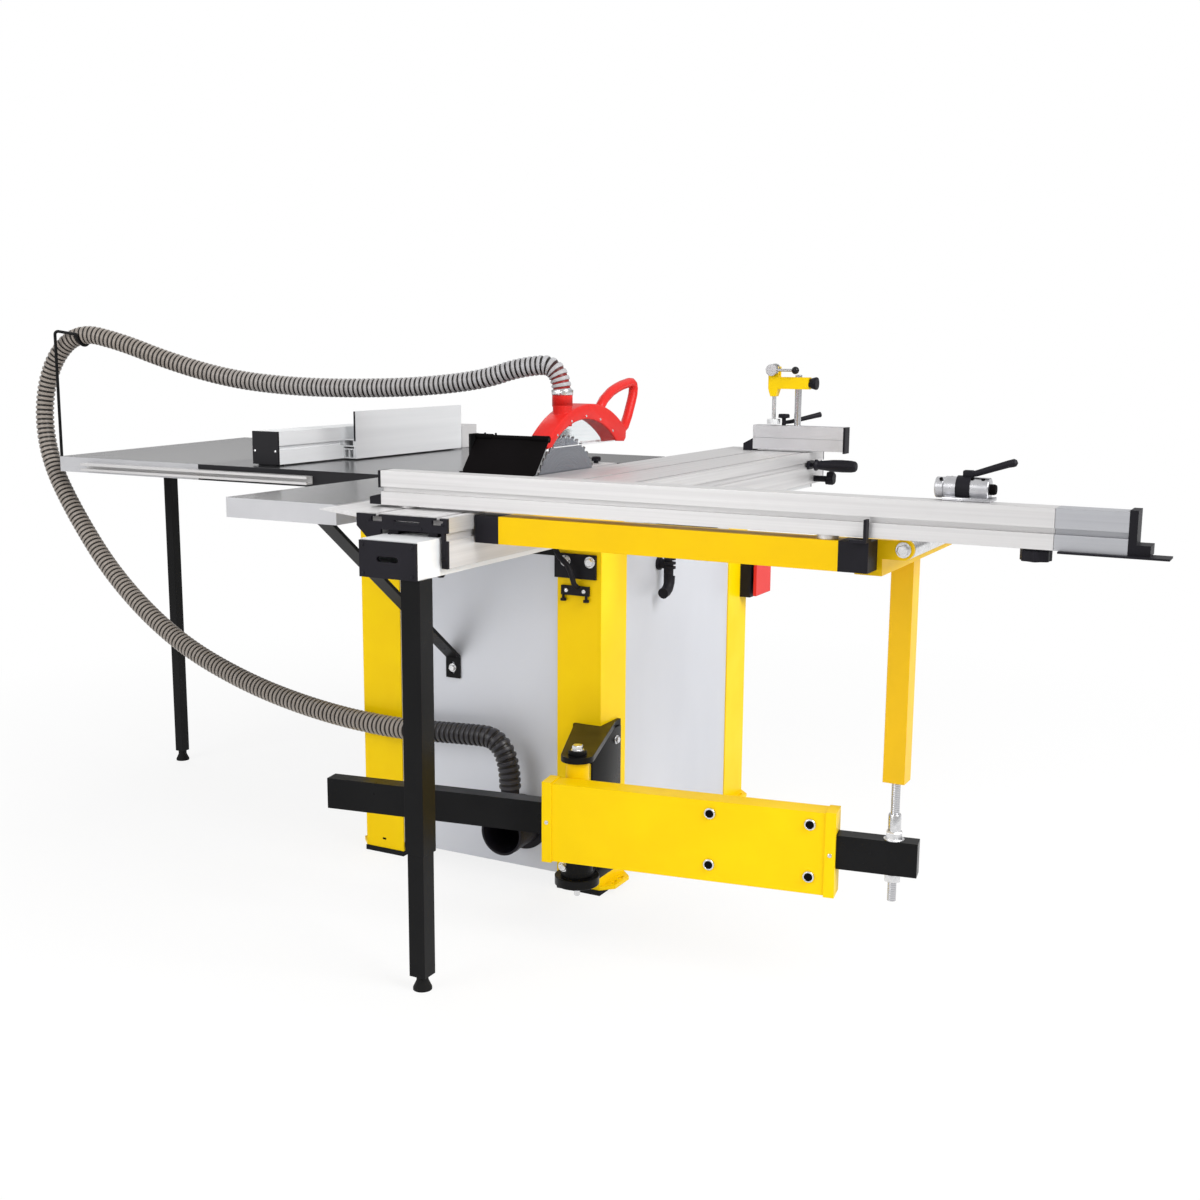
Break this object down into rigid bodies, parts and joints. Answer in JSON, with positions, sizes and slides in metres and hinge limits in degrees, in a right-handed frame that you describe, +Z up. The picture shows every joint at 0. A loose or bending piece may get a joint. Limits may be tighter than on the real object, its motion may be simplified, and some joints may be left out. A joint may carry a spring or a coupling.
{
  "type": "sliding table saw",
  "caption": "Panel saw with a cabinet base, sliding table on a side beam, outrigger with crosscut fence, rip fence, hooded blade and dust hose.",
  "frame": {"origin": "bottom centre of the machine's box without the hose, on the floor", "axes": "+X towards the rip side, +Y along the feed to the outfeed end, +Z up"},
  "size_m": [3.0024, 2.086, 1.2204],
  "materials": {
    "yellow_paint": "satin powder coat",
    "grey_panel": "satin",
    "sheet_grey": "satin",
    "table_iron": "ground",
    "aluminium": "anodised",
    "steel": "ground",
    "black_paint": "satin powder coat",
    "black_plastic": "fine grain",
    "red_plastic": "gloss",
    "clear_pane": "clear",
    "green_plastic": "gloss",
    "hose_grey": "ribbed",
    "rubber": "matt",
    "machine_iron": "painted"
  },
  "bodies": {
    "base": {"corner_posts": "yellow_paint", "feet": "rubber", "cabinet_panels": "grey_panel", "top_frame": "black_paint", "main_table": "table_iron", "table_insert": "aluminium", "sheet_tables": "sheet_grey", "fence_rails": "aluminium", "support_legs": "black_paint", "slide_beam": "aluminium", "fixed_fittings": "black_plastic", "arm_brackets": "black_paint", "switch_box": "black_plastic", "dust_port": "black_plastic", "dust_hose": "hose_grey", "stand_brackets": "black_paint"},
    "carriage": {"carriage": "aluminium", "slide_bearings": "black_plastic", "carriage_end_plates": "black_plastic", "push_handle": "black_plastic", "outrigger_frame": "yellow_paint", "outrigger_caps": "black_plastic"},
    "carriage_lock": {"carriage_lock": "black_plastic"},
    "outrigger_roller": {"outrigger_roller": "steel"},
    "fence": {"crosscut_fence": "aluminium", "fence_end_blocks": "black_plastic"},
    "extension": {"fence_extension": "aluminium", "extension_end": "black_plastic"},
    "fence_knob": {"fence_knob": "black_plastic"},
    "flip_stop": {"flip_stop": "aluminium"},
    "stop_lever": {"stop_lever": "black_plastic"},
    "shoe": {"shoe_fence": "aluminium", "shoe_end_blocks": "black_plastic"},
    "shoe_lever": {"shoe_lever": "black_plastic"},
    "clamp": {"clamp_body": "yellow_paint"},
    "cam_lever": {"cam_lever": "steel"},
    "plunger": {"plunger": "steel"},
    "clamp_knob": {"clamp_knob": "black_plastic"},
    "tilt_frame": {"tilt_frame": "black_paint"},
    "lift": {"arbor_housing": "machine_iron", "motor": "machine_iron", "riving_knife": "steel", "drive_belt": "rubber"},
    "blade": {"arbor": "steel", "saw_blade": "steel"},
    "motor_pulley": {"motor_pulley": "steel"},
    "guard": {"saw_guard": "red_plastic", "guard_windows": "clear_pane"},
    "rise_wheel": {"rise_wheel": "black_plastic"},
    "tilt_wheel": {"tilt_wheel": "black_plastic"},
    "rear_flap": {"rear_flap": "black_paint"},
    "rip_fence": {"rip_fence": "aluminium", "rip_fence_ends": "black_plastic"},
    "rip_plate": {"rip_plate": "aluminium"},
    "rip_lever": {"rip_lever": "black_plastic"},
    "stop_flap": {"stop_flap": "red_plastic"},
    "start_button": {"start_button": "green_plastic"},
    "swing_arm": {"swing_arm": "yellow_paint"},
    "arm_tube": {"arm_tube": "black_paint", "support_post": "yellow_paint"}
  },
  "joints": [
    {"name": "table_slide", "type": "slide", "parent": "base", "child": "carriage", "axis": [0, -1, 0], "range_m": [0, 1]},
    {"name": "lock_turn", "type": "hinge", "parent": "carriage", "child": "carriage_lock", "pos_m": [-0.303, -0.963, 0.797], "axis": [1, 0, 0], "range_deg": [-90, 90]},
    {"name": "roller_spin", "type": "hinge", "parent": "carriage", "child": "outrigger_roller", "pos_m": [-1.089, 0.61, 0.8575], "axis": [0, 1, 0], "continuous": true},
    {"name": "fence_angle", "type": "hinge", "parent": "carriage", "child": "fence", "pos_m": [-0.149, 0.862, 0.88], "axis": [0, 0, 1], "range_deg": [0, 45]},
    {"name": "shoe_slide", "type": "slide", "parent": "carriage", "child": "shoe", "axis": [0, 1, 0], "range_m": [-0.06, 1.2]},
    {"name": "extension_slide", "type": "slide", "parent": "fence", "child": "extension", "axis": [-1, 0, 0], "range_m": [0, 0.4]},
    {"name": "extension_clamp", "type": "hinge", "parent": "fence", "child": "fence_knob", "pos_m": [-1.304, 0.858, 0.87], "axis": [0, 0, 1], "range_deg": [-90, 90]},
    {"name": "stop_slide", "type": "slide", "parent": "fence", "child": "flip_stop", "axis": [1, 0, 0], "range_m": [-0.08, 0.9]},
    {"name": "stop_swing", "type": "hinge", "parent": "flip_stop", "child": "stop_lever", "pos_m": [-1.177, 0.839, 0.9625], "axis": [1, 0, 0], "range_deg": [-60, 60]},
    {"name": "shoe_clamp", "type": "hinge", "parent": "shoe", "child": "shoe_lever", "pos_m": [-0.215, -0.933, 0.96], "axis": [0, 0, 1], "range_deg": [-25, 25]},
    {"name": "clamp_height", "type": "slide", "parent": "shoe", "child": "clamp", "axis": [0, 0, 1], "range_m": [0, 0.04]},
    {"name": "cam_turn", "type": "hinge", "parent": "clamp", "child": "cam_lever", "pos_m": [-0.183, -0.933, 1.11], "axis": [0, 1, 0], "range_deg": [0, 90]},
    {"name": "plunger_press", "type": "slide", "parent": "clamp", "child": "plunger", "axis": [0, 0, 1], "range_m": [-0.0036, 0]},
    {"name": "clamp_knob_turn", "type": "hinge", "parent": "clamp", "child": "clamp_knob", "pos_m": [-0.291, -0.933, 1.073], "axis": [1, 0, 0], "range_deg": [-90, 90]},
    {"name": "blade_tilt", "type": "hinge", "parent": "base", "child": "tilt_frame", "pos_m": [-0.006, 0.017, 0.875], "axis": [0, 1, 0], "range_deg": [0, 45], "deforming": ["dust_hose"]},
    {"name": "blade_rise", "type": "slide", "parent": "tilt_frame", "child": "lift", "axis": [0, 0, 1], "range_m": [-0.06, 0]},
    {"name": "blade_spin", "type": "hinge", "parent": "lift", "child": "blade", "pos_m": [-0.006, 0.001, 0.8025], "axis": [1, 0, 0], "continuous": true},
    {"name": "motor_spin", "type": "hinge", "parent": "lift", "child": "motor_pulley", "pos_m": [0.03, 0.001, 0.5445], "axis": [1, 0, 0], "continuous": true},
    {"name": "guard_height", "type": "slide", "parent": "lift", "child": "guard", "axis": [0, 0, 1], "range_m": [0, 0.06]},
    {"name": "rise_wheel_turn", "type": "hinge", "parent": "base", "child": "rise_wheel", "pos_m": [-0.141, -0.393, 0.56], "axis": [0, 1, 0], "range_deg": [0, 344]},
    {"name": "tilt_wheel_turn", "type": "hinge", "parent": "base", "child": "tilt_wheel", "pos_m": [0.119, -0.393, 0.56], "axis": [0, 1, 0], "range_deg": [0, 338]},
    {"name": "flap_swing", "type": "hinge", "parent": "base", "child": "rear_flap", "pos_m": [0.053, 0.155, 0.961], "axis": [1, 0, 0], "range_deg": [0, 50]},
    {"name": "rip_slide", "type": "slide", "parent": "base", "child": "rip_fence", "axis": [1, 0, 0], "range_m": [-0.42, 0.45]},
    {"name": "rip_plate_slide", "type": "slide", "parent": "rip_fence", "child": "rip_plate", "axis": [0, 1, 0], "range_m": [-0.04, 0.24]},
    {"name": "rip_clamp", "type": "hinge", "parent": "rip_fence", "child": "rip_lever", "pos_m": [0.7005, -0.637, 0.91], "axis": [0, 1, 0], "range_deg": [-60, 60]},
    {"name": "stop_flap_swing", "type": "hinge", "parent": "base", "child": "stop_flap", "pos_m": [-0.374, -0.368, 0.627], "axis": [0, 1, 0], "range_deg": [0, 60]},
    {"name": "start_press", "type": "slide", "parent": "base", "child": "start_button", "axis": [1, 0, 0], "range_m": [0, 0.004], "stiffness_N_per_m": 300, "springref_m": -0.003},
    {"name": "arm_swing", "type": "hinge", "parent": "base", "child": "swing_arm", "pos_m": [-0.402, 0.664, 0.25], "axis": [0, 0, 1], "range_deg": [0, 54.5]},
    {"name": "arm_reach", "type": "slide", "parent": "swing_arm", "child": "arm_tube", "axis": [-0.9877, -0.1564, 0], "range_m": [0, 0.6]}
  ],
  "couplings": [
    {"joint": "plunger_press", "follows": "cam_turn", "m_per_rad": -0.002228},
    {"joint": "motor_spin", "follows": "blade_spin", "ratio": 0.65385},
    {"joint": "guard_height", "follows": "blade_rise", "ratio": -1},
    {"joint": "rise_wheel_turn", "follows": "blade_rise", "rad_per_m": -100},
    {"joint": "tilt_wheel_turn", "follows": "blade_tilt", "ratio": 7.5},
    {"joint": "arm_swing", "follows": "table_slide", "rad_per_m": 0.949},
    {"joint": "arm_reach", "follows": "table_slide", "ratio": 0.595}
  ]
}
